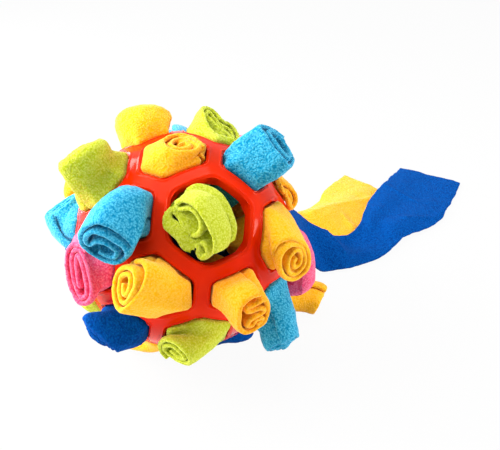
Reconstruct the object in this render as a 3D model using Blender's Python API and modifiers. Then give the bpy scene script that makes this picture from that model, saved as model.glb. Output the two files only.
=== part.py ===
"""A snuffle ball: a rubber lattice ball whose openings hold rolled fleece strips.

Metres, +Z up. The floor is z = 0, the ball's centre stands over the origin,
and the viewer looks along +Y from the front.
"""

import math

import bmesh
import bpy
from mathutils import Matrix, Vector

# The rubber lattice ball
BALL_RADIUS = 0.060
BALL_WALL = 0.006
STRUT_WIDTH = 0.009
RIM_ROUNDING = 0.0012
CORNER_CREASE = 0.6
CORNER_CUT_PERCENT = 100 / 3
RIM_ANGLE = math.radians(40)
AXIS_SHARE = 0.999
CLOTH_UNDER_BALL = 0.006

# The ball's rest: its front opening looks to the right of -Y and up
FRONT_TURN = math.radians(23)
FRONT_TILT = math.radians(40)
FRONT_PENTAGON_CLOCK = math.radians(50)

# Rings of the lattice, in degrees from the front opening's axis: as moulded,
# and with the front opening stretched by the bunch stuffed in it
MOULDED_RINGS = (0, 23.8, 43.0, 60.0, 90, 180)
STUFFED_RINGS = (0, 27.5, 41.8, 57.4, 90, 180)

# The fleece strips, rolled up and pushed into the openings
FLEECE_THICKNESS = 0.0028
STRIP_WIDTH = 0.053
ROLL_RADIUS = 0.0145
ROLL_REACH = 0.026
ROLL_DEPTH_RADIUS = 0.030
NECK_CLEARANCE = 0.00035
CORE_HOLLOW = 0.0010
LAYER_GAP = 0.0007
SHOULDER_SHARE = 0.4
CORNER_SHARE = 1.06
FLAT_SIDE_SHARE = 3
FLOOR_PRESS = 0.0005
PRESS_STEPS = 24
REACH_TRIES = 30

# Turns of a roll, and points of its outline to a turn
SEEN_TURNS, SEEN_STEPS = 2.25, 8
BACK_TURNS, BACK_STEPS = 2.0, 6

# The knot that holds the two long strips inside the ball
KNOT_GAP = 0.0003

# One row for each roll: name, opening, fleece, reach as a share of ROLL_REACH,
# lean of the free end and its clock direction (degrees), half widths of the
# free end as shares of ROLL_RADIUS, twist (degrees), taper of the very end
SEEN_ROLL_SHARES = (
    ("yellow_roll_top", 15, "yellow", 0.60, 33, 240, 1.15, 1.08, 0, 0.92),
    ("yellow_roll_upper_front", 6, "golden", 0.60, 50, 115, 1.05, 0.75, 20, 0.90),
    ("lime_roll_top", 7, "lime", 0.42, 35, 190, 1.00, 0.85, 30, 1.00),
    ("lime_roll_upper_left", 12, "lime", 0.76, 8, 330, 1.05, 0.85, 25, 1.00),
    ("cyan_roll_upper_right", 1, "cyan", 0.84, 14, 190, 1.10, 0.95, 40, 1.00),
    ("cyan_roll_left", 3, "cyan", 1.10, 40, 163, 1.00, 0.75, 25, 1.00),
    ("cyan_roll_far_left", 18, "cyan", 0.65, 24, 310, 1.05, 0.85, 60, 0.90),
    ("pink_roll_left", 11, "pink", 0.60, 30, 105, 1.10, 0.55, 80, 1.00),
    ("pink_roll_right", 13, "pink", 0.75, 55, 200, 1.00, 0.75, 70, 0.80),
    ("yellow_roll_lower_left", 5, "yellow", 1.05, 33, 330, 1.05, 0.70, 75, 1.00),
    ("yellow_roll_right", 4, "yellow", 0.90, 45, 230, 0.92, 0.78, 60, 0.90),
    ("golden_roll_lower_right", 2, "golden", 0.95, 14, 300, 1.00, 0.90, 45, 0.95),
    ("golden_roll_right", 8, "golden", 0.35, 60, 215, 0.78, 0.68, 40, 0.90),
    ("lime_roll_bottom", 10, "lime", 0.60, 45, 303, 1.00, 0.75, 40, 1.00),
    ("cyan_roll_lower_right", 9, "cyan", 0.85, 25, 250, 0.95, 0.80, 45, 1.00),
    ("blue_roll_lower_left", 14, "blue", 0.75, 28, 335, 1.10, 0.75, 45, 1.00),
)
BACK_ROLL_SHARES = (
    ("lime_roll_low_left", 23, "lime", 0.30, 15, 160, 0.90, 0.80, 0, 0.90),
    ("yellow_roll_behind_left", 24, "yellow", 0.85, 45, 150, 0.85, 0.72, 0, 0.90),
    ("pink_roll_behind_top", 16, "pink", 0.70, 10, 90, 0.85, 0.80, 30, 0.90),
    ("cyan_roll_behind_top", 19, "cyan", 0.60, 40, 180, 1.00, 0.80, 0, 0.95),
    ("lime_roll_back", 25, "lime", 0.85, 12, 60, 1.00, 0.85, 45, 1.00),
    ("blue_roll_behind_left", 27, "blue", 0.80, 12, 30, 1.00, 0.80, 20, 1.00),
    ("golden_roll_back", 30, "golden", 0.75, 8, 200, 0.85, 0.80, 60, 0.90),
)
# The rolls that the ball rests on: each reaches as far as the floor
FLOOR_ROLL_SHARES = (
    ("blue_roll_under_front", 17, "blue", 45, 135, 0.90, 0.50, 0, 1.00),
    ("yellow_roll_under_right", 21, "yellow", 23, 10, 0.90, 0.68, 30, 1.00),
    ("yellow_roll_under_left", 22, "yellow", 45, 200, 0.95, 0.50, 0, 1.00),
    ("pink_roll_low_back", 28, "pink", 0, 0, 0.85, 0.80, 0, 1.00),
    ("lime_roll_low_behind", 29, "lime", 0, 0, 0.85, 0.80, 0, 1.00),
    ("cyan_roll_low_back", 31, "cyan", 0, 0, 0.90, 0.80, 10, 1.00),
)
# The roll straight under the ball: name, opening, fleece, offset of its end
BOTTOM_ROLL_SHARES = ("cyan_roll_under", 26, "cyan", 0.66)
MOST_REACH = 0.060

# The loose bunch in the front opening: a strip folded into loops. Its path in
# the plane of the loops, as shares of the opening's clear radius and BALL_RADIUS
BUNCH_PATH_SHARES = (
    (0.25, 0.579), (0.60, 0.72), (0.84, 0.90), (0.78, 1.03), (0.45, 1.12),
    (0.00, 1.12), (-0.26, 1.01), (-0.28, 0.84), (-0.42, 0.76), (-0.50, 0.90),
    (-0.56, 1.08), (-0.76, 1.17), (-0.92, 1.10), (-0.84, 0.98), (-0.62, 0.84),
)
BUNCH_CLOCK = math.radians(55)
BUNCH_WIDTH_SHARES = (-0.84, -0.36, 0.36, 0.84)
BUNCH_ROUND_SHARE = 0.85
BUNCH_DROP_SHARES = (0.90, 1.0, 1.0, 0.90)

# The two long strips: stations along each, as left and right edge (x, y, z),
# the height of the middle ridge and the depth of the pleats, all as shares of
# STRIP_WIDTH. The first two lie in the ball: at the knot and in the opening
TAIL_FLOOR_GAP = 0.0002
BLUE_TAIL_SHARES = (
    ((0.480, 0.320, 1.25), (0.450, 0.300, 1.03), 0.00, 0.000),
    ((0.99, 0.66, 1.20), (0.94, 0.62, 0.85), 0.00, 0.020),
    ((1.13, 1.13, 0.94), (1.28, 0.87, 0.45), 0.04, 0.020),
    ((1.21, 1.70, 0.53), (1.58, 1.06, 0.04), 0.10, 0.010),
    ((1.62, 1.92, 0.08), (1.91, 1.15, 0.00), 0.15, 0.000),
    ((2.11, 2.00, 0.05), (2.38, 1.45, 0.00), 0.03, 0.000),
    ((2.38, 2.66, 0.14), (2.79, 1.93, 0.00), 0.00, 0.000),
    ((2.66, 3.05, 0.12), (3.23, 2.22, 0.00), 0.02, 0.000),
    ((2.80, 3.35, 0.06), (3.53, 2.60, 0.00), 0.04, 0.000),
    ((3.06, 3.78, 0.00), (3.89, 3.34, 0.00), 0.02, 0.000),
)
YELLOW_TAIL_SHARES = (
    ((0.410, 0.410, 1.25), (0.380, 0.380, 1.03), 0.00, 0.000),
    ((0.83, 0.85, 1.20), (0.78, 0.80, 0.85), 0.00, 0.020),
    ((0.87, 1.25, 0.83), (1.02, 1.08, 0.45), 0.03, 0.020),
    ((0.98, 1.74, 0.34), (1.26, 1.50, 0.15), 0.06, 0.010),
    ((1.21, 2.30, 0.06), (1.51, 2.00, 0.04), 0.10, 0.000),
    ((1.42, 2.53, 0.00), (1.77, 2.11, 0.00), 0.18, 0.000),
    ((1.66, 2.78, 0.00), (2.13, 2.20, 0.00), 0.16, 0.000),
    ((1.81, 3.15, 0.00), (2.42, 2.48, 0.00), 0.06, 0.000),
    ((2.15, 3.60, 0.00), (2.80, 2.98, 0.00), 0.00, 0.000),
)
TAIL_SHARES = (
    ("blue_tail_strip", 20, "blue", BLUE_TAIL_SHARES),
    ("yellow_tail_strip", 20, "yellow", YELLOW_TAIL_SHARES),
)
TAIL_COLUMNS = 6

# Rubber and fleece colours, and the roughness of each
RUBBER = ("rubber_red", (0.83, 0.045, 0.010, 1), 0.28)
FLEECE = {
    "yellow": (0.98, 0.66, 0.03, 1),
    "golden": (0.98, 0.48, 0.02, 1),
    "lime": (0.60, 0.72, 0.06, 1),
    "cyan": (0.03, 0.42, 0.68, 1),
    "pink": (0.80, 0.08, 0.22, 1),
    "blue": (0.006, 0.07, 0.36, 1),
}
FLEECE_ROUGHNESS = 0.95

# Edges sharper than these are drawn sharp
HARD_EDGE = math.radians(40)
SOFT_EDGE = math.radians(60)

FLOOR_CUTTER = 0.300
CENTRE = Vector((0, 0, BALL_RADIUS + CLOTH_UNDER_BALL))
DOWN = Vector((0, 0, -1))


def clear_scene():
    for thing in list(bpy.data.objects):
        bpy.data.objects.remove(thing)


def collection(name):
    made = bpy.data.collections.new(name)
    bpy.context.scene.collection.children.link(made)
    return made


def material(name, colour, roughness):
    made = bpy.data.materials.get(name)
    if made:
        return made
    made = bpy.data.materials.new(name)
    made.use_nodes = True
    shader = made.node_tree.nodes["Principled BSDF"]
    shader.inputs["Base Color"].default_value = colour
    shader.inputs["Roughness"].default_value = roughness
    made.diffuse_color = colour
    return made


def fleece(colour):
    return material("fleece_" + colour, FLEECE[colour], FLEECE_ROUGHNESS)


def add_object(name, bm, where, finish, sharp=HARD_EDGE):
    """A mesh object, shaded smooth but for its sharp edges."""
    mesh = bpy.data.meshes.new(name)
    bm.to_mesh(mesh)
    bm.free()
    mesh.shade_smooth()
    mesh.set_sharp_from_angle(angle=sharp)
    made = bpy.data.objects.new(name, mesh)
    made.data.materials.append(finish)
    where.objects.link(made)
    return made


# The lattice


def front_frame():
    """Right, up and outward axes of the front opening, as a rotation."""
    out = Vector((
        math.sin(FRONT_TURN) * math.cos(FRONT_TILT),
        -math.cos(FRONT_TURN) * math.cos(FRONT_TILT),
        math.sin(FRONT_TILT),
    ))
    right = Vector((0, 0, 1)).cross(out).normalized()
    return Matrix((right, out.cross(right), out)).transposed()


def clock_of(point):
    return math.atan2(point.x, point.y) % math.tau


def stuffed_ring(angle):
    """Where a ring of the moulded ball lies once the front opening is stuffed."""
    degrees = math.degrees(angle)
    for i, high in enumerate(MOULDED_RINGS[1:]):
        low = MOULDED_RINGS[i]
        if degrees <= high:
            share = (degrees - low) / (high - low)
            first, last = STUFFED_RINGS[i], STUFFED_RINGS[i + 1]
            return math.radians(first + share * (last - first))
    return angle


def lattice_cage():
    """A truncated icosahedron, a hexagon on +Z, with the stuffed ball's stretch."""
    bm = bmesh.new()
    bmesh.ops.create_icosphere(bm, subdivisions=1, radius=BALL_RADIUS)
    bm.faces.ensure_lookup_table()
    bm.normal_update()
    front = bm.faces[0]
    bm.transform(front.normal.rotation_difference(Vector((0, 0, 1))).to_matrix().to_4x4())
    turn = clock_of(front.verts[0].co) - FRONT_PENTAGON_CLOCK
    bm.transform(Matrix.Rotation(turn, 4, "Z"))
    bmesh.ops.bevel(
        bm, geom=list(bm.verts), offset=CORNER_CUT_PERCENT, offset_type="PERCENT",
        affect="VERTICES", segments=1,
    )
    for vert in bm.verts:
        axis = vert.co.normalized()
        ring = math.acos(max(-1, min(1, axis.z)))
        clock = clock_of(axis)
        ring = stuffed_ring(ring)
        vert.co = BALL_RADIUS * Vector((
            math.sin(ring) * math.sin(clock), math.sin(ring) * math.cos(clock), math.cos(ring),
        ))
    bm.normal_update()
    bmesh.ops.inset_individual(
        bm, faces=list(bm.faces), thickness=STRUT_WIDTH / 2, use_even_offset=True,
    )
    return bm


def opening_faces(bm):
    """The lattice's openings by ring and clock: the front one is number 0."""
    inner = [face for face in bm.faces if len(face.verts) > 4]
    middle = {face: face.calc_center_median().normalized() for face in inner}
    return sorted(inner, key=lambda face: (
        round(math.degrees(math.acos(max(-1, min(1, middle[face].z))))),
        round(math.degrees(clock_of(middle[face]))) % 360 if middle[face].z < AXIS_SHARE else 0,
    ))


def find_openings():
    """Each opening as its outward axis and the directions of its rim's corners."""
    bm = lattice_cage()
    turned = front_frame()
    found = []
    for face in opening_faces(bm):
        corners = [turned @ vert.co.normalized() for vert in face.verts]
        found.append((sum(corners, Vector()).normalized(), corners))
    bm.free()
    return found


def clear_share(opening, away):
    """How far the opening is clear in a direction square to its axis, per unit of radius."""
    axis, corners = opening
    reaches = []
    for i, corner in enumerate(corners):
        along = corners[i - 1] - corner
        square = axis.cross(along).normalized()
        distance = corner.dot(square)
        if distance < 0:
            square, distance = -square, -distance
        reaches.append((distance, distance / max(away.dot(square), distance)))
    slimmest = min(distance for distance, _ in reaches)
    return min(min(reach for _, reach in reaches), slimmest * CORNER_SHARE)


def lattice_ball(parts):
    bm = lattice_cage()
    crease = bm.verts.layers.float.new("crease_vert")
    for face in opening_faces(bm):
        for vert in face.verts:
            vert[crease] = CORNER_CREASE
    bmesh.ops.delete(bm, geom=opening_faces(bm), context="FACES")
    ball = add_object("lattice_ball", bm, parts, material(*RUBBER))
    ball.location = CENTRE
    ball.rotation_euler = front_frame().to_euler()
    fine = ball.modifiers.new("rounded openings", "SUBSURF")
    fine.levels = fine.render_levels = 1
    sphere = ball.modifiers.new("sphere", "CAST")
    sphere.cast_type = "SPHERE"
    sphere.factor = 1
    sphere.radius = 0
    sphere.use_radius_as_size = False
    sphere.size = BALL_RADIUS
    wall = ball.modifiers.new("wall", "SOLIDIFY")
    wall.thickness = BALL_WALL
    wall.offset = -1
    rim = ball.modifiers.new("rims", "BEVEL")
    rim.width = RIM_ROUNDING
    rim.segments = 1
    rim.limit_method = "ANGLE"
    rim.angle_limit = RIM_ANGLE
    return ball


# The rolls


def roll_outline(wide, slim, turns, steps):
    """A rolled sheet's closed outline: inward along its outer side, then back."""
    tight = (slim - CORE_HOLLOW - turns * LAYER_GAP) / (turns + 1)
    thickness = min(FLEECE_THICKNESS, tight)
    pitch = (slim - thickness - CORE_HOLLOW) / turns
    straight = wide - slim
    count = round(turns * steps)

    def at(step, inset):
        angle = math.tau * (step + 0.5) / steps
        radius = slim - pitch * step / steps - inset
        side = max(-1, min(1, FLAT_SIDE_SHARE * math.cos(angle)))
        return Vector((straight * side + radius * math.cos(angle), radius * math.sin(angle)))

    outer = [at(step, 0) for step in range(count + 1)]
    inner = [at(step, thickness) for step in range(count, -1, -1)]
    return outer + inner


def layer_gap(ring, steps):
    """The least distance between one layer's inner side and the next layer's outer side."""
    count = len(ring) // 2
    outer, inner = ring[:count], ring[:count - 1:-1]
    least = math.inf
    for i, point in enumerate(inner):
        for start, end in zip(outer[i + steps // 2:], outer[i + steps // 2 + 1:]):
            along = end - start
            share = max(0, min(1, (point - start).dot(along) / along.length_squared))
            least = min(least, (point - start - share * along).length)
    return least


def tangents(axis):
    """Right and up on the ball's surface, seen from outside, where axis leaves it."""
    up = (Vector((0, 0, 1)) - axis * axis.z).normalized()
    return up.cross(axis), up


def section(centre, axis, direction, outline, twist):
    """The outline laid square to direction, with its wide side kept level on the ball."""
    right, up = tangents(axis)
    turn = axis.rotation_difference(direction)
    across = turn @ (right * math.cos(twist) + up * math.sin(twist))
    along = turn @ (up * math.cos(twist) - right * math.sin(twist))
    return [CENTRE + centre + across * point.x + along * point.y for point in outline]


def pressed_section(opening, radius, twist, turns, steps):
    """A round roll pressed into the shape of its opening, at a distance from the centre."""
    axis = opening[0]
    right, up = tangents(axis)
    across = right * math.cos(twist) + up * math.sin(twist)
    along = up * math.cos(twist) - right * math.sin(twist)
    least = min(clear_share(opening, right * math.cos(a) + up * math.sin(a))
                for a in (math.tau * i / PRESS_STEPS for i in range(PRESS_STEPS)))
    fit = radius * least - NECK_CLEARANCE
    points = []
    for point in roll_outline(fit, fit, turns, steps):
        away = (across * point.x + along * point.y).normalized()
        wide = (radius * clear_share(opening, away) - NECK_CLEARANCE) / fit
        points.append(CENTRE + axis * radius + away * point.length * wide)
    return points


def roll_sections(opening, reach, direction, wide, slim, twist, end, turns, steps, tip=None):
    """Rings of a roll from its inner end, through its opening, to its free end."""
    axis = opening[0]
    neck = BALL_RADIUS + RIM_ROUNDING
    halfway = (axis + direction).normalized()
    base = axis * BALL_RADIUS
    shoulder = base + halfway * reach * SHOULDER_SHARE
    if tip is None:
        tip = base + direction * reach
    full = roll_outline(wide, slim, turns, steps)
    last = roll_outline(wide * end, slim * end, turns, steps)
    return [
        pressed_section(opening, ROLL_DEPTH_RADIUS, twist, turns, steps),
        pressed_section(opening, neck, twist, turns, steps),
        section(shoulder, axis, halfway, full, twist),
        section(tip, axis, direction, last, twist),
    ]


def loft(rings):
    """A closed body through rings of equally many points."""
    bm = bmesh.new()
    rows = [[bm.verts.new(point) for point in ring] for ring in rings]
    count = len(rows[0])
    for low, high in zip(rows, rows[1:]):
        for i in range(count):
            j = (i + 1) % count
            bm.faces.new((low[i], low[j], high[j], high[i]))
    caps = [bm.faces.new(rows[0][::-1]), bm.faces.new(rows[-1])]
    bmesh.ops.triangulate(bm, faces=caps)
    if bm.calc_volume(signed=True) < 0:
        bmesh.ops.reverse_faces(bm, faces=bm.faces)
    return bm


def leaning(axis, lean, clock):
    right, up = tangents(axis)
    away = right * math.sin(math.radians(clock)) + up * math.cos(math.radians(clock))
    return axis * math.cos(math.radians(lean)) + away * math.sin(math.radians(lean))


def lowest(rings):
    return min(point.z for ring in rings for point in ring)


def reach_to_floor(rings_at):
    """The reach at which a roll under the ball is pressed FLOOR_PRESS into the floor."""
    short, long = 0, MOST_REACH
    for _ in range(REACH_TRIES):
        reach = (short + long) / 2
        if lowest(rings_at(reach)) > -FLOOR_PRESS:
            short = reach
        else:
            long = reach
    return long


def add_roll(parts, name, colour, rings, steps):
    gap = min(layer_gap(ring, steps) for ring in rings)
    print(f"{name}: least gap between layers {1000 * gap:.2f} mm")
    return add_object(name, loft(rings), parts, fleece(colour), sharp=SOFT_EDGE)


def cut_at_floor(roll, cutter):
    flat = roll.modifiers.new("flat on the floor", "BOOLEAN")
    flat.operation = "DIFFERENCE"
    flat.object = cutter


def seen_and_back_rolls(parts, openings):
    tables = ((SEEN_ROLL_SHARES, SEEN_TURNS, SEEN_STEPS), (BACK_ROLL_SHARES, BACK_TURNS, BACK_STEPS))
    for table, turns, steps in tables:
        for name, number, colour, reach, lean, clock, wide, slim, twist, end in table:
            rings = roll_sections(
                openings[number], reach * ROLL_REACH, leaning(openings[number][0], lean, clock),
                wide * ROLL_RADIUS, slim * ROLL_RADIUS, math.radians(twist), end, turns, steps,
            )
            add_roll(parts, name, colour, rings, steps)


def floor_rolls(parts, openings, cutter):
    for name, number, colour, lean, clock, wide, slim, twist, end in FLOOR_ROLL_SHARES:
        axis = openings[number][0]

        def rings_at(reach):
            return roll_sections(
                openings[number], reach, leaning(axis, lean, clock), wide * ROLL_RADIUS,
                slim * ROLL_RADIUS, math.radians(twist), end, BACK_TURNS, BACK_STEPS,
            )

        rings = rings_at(reach_to_floor(rings_at))
        roll = add_roll(parts, name, colour, rings, BACK_STEPS)
        cut_at_floor(roll, cutter)


def bottom_roll(parts, openings, cutter):
    """The roll straight under the ball: its end lies flat, one layer over the origin."""
    name, number, colour, offset = BOTTOM_ROLL_SHARES
    axis = openings[number][0]
    level = Vector((axis.x, axis.y, 0)).normalized() * ROLL_RADIUS * offset
    tip = level + DOWN * (CENTRE.z + FLOOR_PRESS)
    reach = (tip - axis * BALL_RADIUS).length
    rings = roll_sections(
        openings[number], reach, DOWN, ROLL_RADIUS, ROLL_RADIUS, 0, 1, SEEN_TURNS, SEEN_STEPS, tip,
    )
    cut_at_floor(add_roll(parts, name, colour, rings, SEEN_STEPS), cutter)


def floor_cutter(cutters):
    bm = bmesh.new()
    bmesh.ops.create_cube(bm, size=FLOOR_CUTTER)
    cutter = add_object("floor_cutter", bm, cutters, fleece("lime"))
    cutter.location = DOWN * FLOOR_CUTTER / 2
    cutter.hide_render = True
    cutter.display_type = "WIRE"
    return cutter


# The bunch, the knot and the long strips


def thick_path(path, thickness):
    """A band's closed outline about a flat path."""
    sides = []
    for i, point in enumerate(path):
        along = (path[min(i + 1, len(path) - 1)] - path[max(i - 1, 0)]).normalized()
        sides.append((point, Vector((-along.y, along.x)) * thickness / 2))
    return [p + n for p, n in sides] + [p - n for p, n in reversed(sides)]


def lime_bunch(parts, openings):
    """A strip folded into two loops, its wide loop domed over the front opening."""
    axis = openings[0][0]
    right, up = tangents(axis)
    across = right * math.sin(BUNCH_CLOCK) + up * math.cos(BUNCH_CLOCK)
    along = across.cross(axis)
    fit = BALL_RADIUS * clear_share(openings[0], across) - NECK_CLEARANCE - FLEECE_THICKNESS / 2

    def rounded(point):
        """Half the bunch's length here: its plan is round, and it narrows inward."""
        share = min(1, BUNCH_ROUND_SHARE * abs(point.x) / fit)
        return fit * math.sqrt(1 - share * share) * point.y / BALL_RADIUS

    rings = []
    for width, drop in zip(BUNCH_WIDTH_SHARES, BUNCH_DROP_SHARES):
        path = [Vector((x * fit * drop, z * BALL_RADIUS * drop)) for x, z in BUNCH_PATH_SHARES]
        outline = thick_path(path, FLEECE_THICKNESS)
        rings.append([
            CENTRE + across * p.x + axis * p.y + along * width * rounded(p) for p in outline
        ])
    add_object("lime_bunch", loft(rings), parts, fleece("lime"), sharp=SOFT_EDGE)


def tail_knot(parts, openings):
    """The cloth knot in the middle, pressed flat by the inner end of each roll."""
    bm = bmesh.new()
    bmesh.ops.create_cube(bm, size=4 * ROLL_DEPTH_RADIUS)
    for axis, _ in openings:
        bmesh.ops.bisect_plane(
            bm, geom=list(bm.verts) + list(bm.edges) + list(bm.faces), clear_outer=True,
            plane_co=axis * (ROLL_DEPTH_RADIUS - KNOT_GAP), plane_no=axis,
        )
        bmesh.ops.holes_fill(bm, edges=[edge for edge in bm.edges if edge.is_boundary])
    bmesh.ops.recalc_face_normals(bm, faces=bm.faces)
    knot = add_object("tail_knot", bm, parts, fleece("blue"), sharp=SOFT_EDGE)
    knot.location = CENTRE


def seated_on_knot(point, axis):
    """The point moved along an opening's axis until it lies on the knot's flat under it."""
    return point + axis * (ROLL_DEPTH_RADIUS + KNOT_GAP - (point - CENTRE).dot(axis))


def tail(parts, name, colour, shares, axis):
    """A cloth strip from the knot, through its opening, down to and along the floor."""
    bm = bmesh.new()
    rows = []
    for left, right, ridge, pleat in shares:
        left, right = Vector(left) * STRIP_WIDTH, Vector(right) * STRIP_WIDTH
        if not rows:
            left, right = seated_on_knot(left, axis), seated_on_knot(right, axis)
        row = []
        for i in range(TAIL_COLUMNS + 1):
            share = i / TAIL_COLUMNS
            point = left.lerp(right, share)
            point.z += ridge * STRIP_WIDTH * math.sin(math.pi * share) + TAIL_FLOOR_GAP
            if i % 2:
                point.x += pleat * STRIP_WIDTH
            row.append(bm.verts.new(point))
        rows.append(row)
    for low, high in zip(rows, rows[1:]):
        for i in range(TAIL_COLUMNS):
            bm.faces.new((low[i], low[i + 1], high[i + 1], high[i]))
    strip = add_object(name, bm, parts, fleece(colour))
    cloth = strip.modifiers.new("cloth", "SOLIDIFY")
    cloth.thickness = FLEECE_THICKNESS
    cloth.offset = 1
    return strip


def main():
    clear_scene()
    parts = collection("snuffle ball")
    cutters = collection("cutters")
    openings = find_openings()
    cutter = floor_cutter(cutters)
    lattice_ball(parts)
    seen_and_back_rolls(parts, openings)
    floor_rolls(parts, openings, cutter)
    bottom_roll(parts, openings, cutter)
    lime_bunch(parts, openings)
    tail_knot(parts, openings)
    for name, number, colour, shares in TAIL_SHARES:
        tail(parts, name, colour, shares, openings[number][0])


main()
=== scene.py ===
"""The looks of the snuffle ball: a glossy rubber lattice stuffed with rolled fleece strips.

Metres, in the CAD's frame. Each strip is a closed sheet with rounded cut edges, wound, pressed
through its opening and bent over; the two long strips lie on the floor.
"""

import itertools
import math
from dataclasses import dataclass

import bmesh
import bpy
import numpy as np
from mathutils import Matrix, Vector
from mathutils.kdtree import KDTree


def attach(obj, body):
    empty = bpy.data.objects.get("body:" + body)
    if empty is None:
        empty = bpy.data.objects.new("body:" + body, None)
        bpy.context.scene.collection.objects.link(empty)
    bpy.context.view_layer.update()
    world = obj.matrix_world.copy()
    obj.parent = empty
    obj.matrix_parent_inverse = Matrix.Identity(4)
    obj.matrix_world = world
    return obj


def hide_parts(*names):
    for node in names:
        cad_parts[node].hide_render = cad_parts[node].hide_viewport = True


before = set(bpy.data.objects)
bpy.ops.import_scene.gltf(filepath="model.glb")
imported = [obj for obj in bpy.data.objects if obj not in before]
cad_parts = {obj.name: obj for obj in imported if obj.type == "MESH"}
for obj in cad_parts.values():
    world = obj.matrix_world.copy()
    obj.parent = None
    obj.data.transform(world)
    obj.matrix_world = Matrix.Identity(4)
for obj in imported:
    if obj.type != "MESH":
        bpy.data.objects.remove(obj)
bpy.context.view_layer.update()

MM = 0.001

# The rubber lattice, as in the CAD
BALL_RADIUS = 0.060
BALL_WALL = 0.006
STRUT_WIDTH = 0.009
RIM_ROUNDING = 0.0012
CORNER_CREASE = 0.6
CENTRE = Vector((0, 0, 0.066))
FRONT_TURN = math.radians(23)
FRONT_TILT = math.radians(40)
FRONT_PENTAGON_CLOCK = math.radians(50)
MOULDED_RINGS = (0, 23.8, 43.0, 60.0, 90, 180)
STUFFED_RINGS = (0, 27.5, 41.8, 57.4, 90, 180)

# The lattice's finer form
LATTICE_LEVELS = 4
WALL_RINGS = 4
BEAD_HEIGHT = 0.0004
BEAD_INSET = 0.0014
BEAD_WIDTH = 0.0004

# The fleece
FLEECE_THICKNESS = 0.0025
HALF_FLEECE = FLEECE_THICKNESS / 2
CUT_EDGE_ROWS = np.array([0.18, 0.58, 1.0])
NECK_CLEARANCE = 0.0004
NECK_SQUEEZE = 0.3
NECK_LENGTH = 0.004
BEYOND_RIM = 0.001
ROLL_DEPTH_RADIUS = 0.030
KNOT_GAP = 0.0012
FLOOR_GAP = 0.0002
FLOOR_GRAIN = 0.002
FLOOR_UNEVENNESS = 0.05 * MM
NAP_SIZE = 0.0014
NAP_HEIGHT = 0.00016
LUMP_SIZE = 0.007
LUMP_HEIGHT = 0.0003

# How fine the meshes are
SECTION_POINTS = 2000
STRAIGHT_STEPS = 19
BEND_POINTS = 80
OVERRUN = 0.01
FINE_STEP = 0.0007
COARSE_STEP = 0.0016
INNER_STEP = 0.0035
TAIL_STEP = 0.0012
TAIL_FINE_ROWS = 400
OUTER_TURN_SHARE = 1.05
INNER_TURN_STEP = 1.8

# How the cloth lies: lengths of its waves, and gaps
CUT_WAVE = 0.018
CUT_RIPPLE = 0.006
LOOSE_WAVE = 7.5 * MM
LIFTED_LENGTH = 0.006
CURLED_LENGTH = 0.004
BALL_GAP = 0.0004
LAYER_GAP = 0.0006
MOUTH_DIP = 0.0016
MOUTH_DIP_LENGTH = 0.0035
LAID_NAP_HEIGHT = 0.0001
LAID_LUMP_HEIGHT = 0.0002
LAID_WAVE = 0.016
LAID_LIFT = 0.5 * MM
SIDE_WAVE = 0.02
SIDE_RIPPLE = 0.006
SIDE_SHIFT = 0.06
TAIL_END_WAVE = 0.007
TAIL_END_CUT = 0.9 * MM

# The photograph's camera
CAMERA_PLACE = (0.03624, -0.35076, 0.29415)
CAMERA_TILT = math.radians(58)
CAMERA_LENS = 53.87
CAMERA_SENSOR = 36

# The studio: each lamp's place, the point it is turned to, its size and its power
FLOOR_SIDE = 12.0
LAMPS = (
    ("key_left", (-0.60, -0.10, 0.50), (0, 0, 0.06), (0.5, 0.5), 8),
    ("rim_left", (-0.55, 0.30, 0.25), (0, 0, 0.06), (0.5, 0.5), 8),
    ("fill_right", (0.70, -0.06, 0.20), (0.02, 0, 0.06), (0.16, 0.5), 4),
    ("top_soft", (-0.05, 0.1, 0.85), (0, 0, 0.05), (0.8, 0.6), 5.5),
)


# Noise, lines and meshes


def noise(points, size, seed):
    """Smooth noise from -1 to 1 that varies over a distance of size."""
    grid = np.asarray(points, float) / size + 1000
    cell = np.floor(grid).astype(np.int64)
    share = grid - cell
    share = share * share * (3 - 2 * share)
    total = np.zeros(len(grid))
    for corner in itertools.product((0, 1), repeat=3):
        at = cell + corner
        mixed = at[:, 0] * 73856093 ^ at[:, 1] * 19349663 ^ at[:, 2] * 83492791 ^ seed * 2654435
        mixed = (mixed ^ mixed >> 13) * 1274126177 & 0x7FFFFFFF
        mixed = (mixed ^ mixed >> 15) * 668265263 & 0x7FFFFFFF
        weight = np.prod(np.where(corner, share, 1 - share), axis=1)
        total += weight * (mixed / 0x3FFFFFFF - 1)
    return total


def line_noise(places, size, seed):
    return noise(np.stack([places] * 3, axis=1), size, seed)


def smooth(value, low, high):
    share = np.clip((np.asarray(value, float) - low) / (high - low), 0, 1)
    return share * share * (3 - 2 * share)


def padded(values):
    """The values with one more beyond each end, as far on as the last two are apart."""
    return np.concatenate([[2 * values[0] - values[1]], values, [2 * values[-1] - values[-2]]])


def catmull_rom(a, b, c, d, t):
    return 0.5 * (2 * b + (c - a) * t + (2 * a - 5 * b + 4 * c - d) * t ** 2
                  + (3 * b - a - 3 * c + d) * t ** 3)


def cubic(values, at):
    """Points on the smooth curve through values, which lie at places 0, 1, 2 ..."""
    more = padded(np.asarray(values, float))
    i = np.clip(np.floor(at).astype(int), 0, len(values) - 2)
    t = (at - i).reshape(-1, *[1] * (more.ndim - 1))
    return catmull_rom(*(more[i + k] for k in range(4)), t)


def net_points(net, along, across):
    """Points on the smooth surface through a net of points."""
    columns = padded(np.stack([cubic(net[:, k], along) for k in range(net.shape[1])]))
    low = np.clip(np.floor(across).astype(int), 0, net.shape[1] - 2)
    at = np.arange(len(along))
    return catmull_rom(*(columns[low + k, at] for k in range(4)), (across - low)[:, None])


def steps_between(start, end, step):
    """Even places from start to end, at most a step apart."""
    return np.linspace(start, end, max(2, int(math.ceil((end - start) / step)) + 1))


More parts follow.
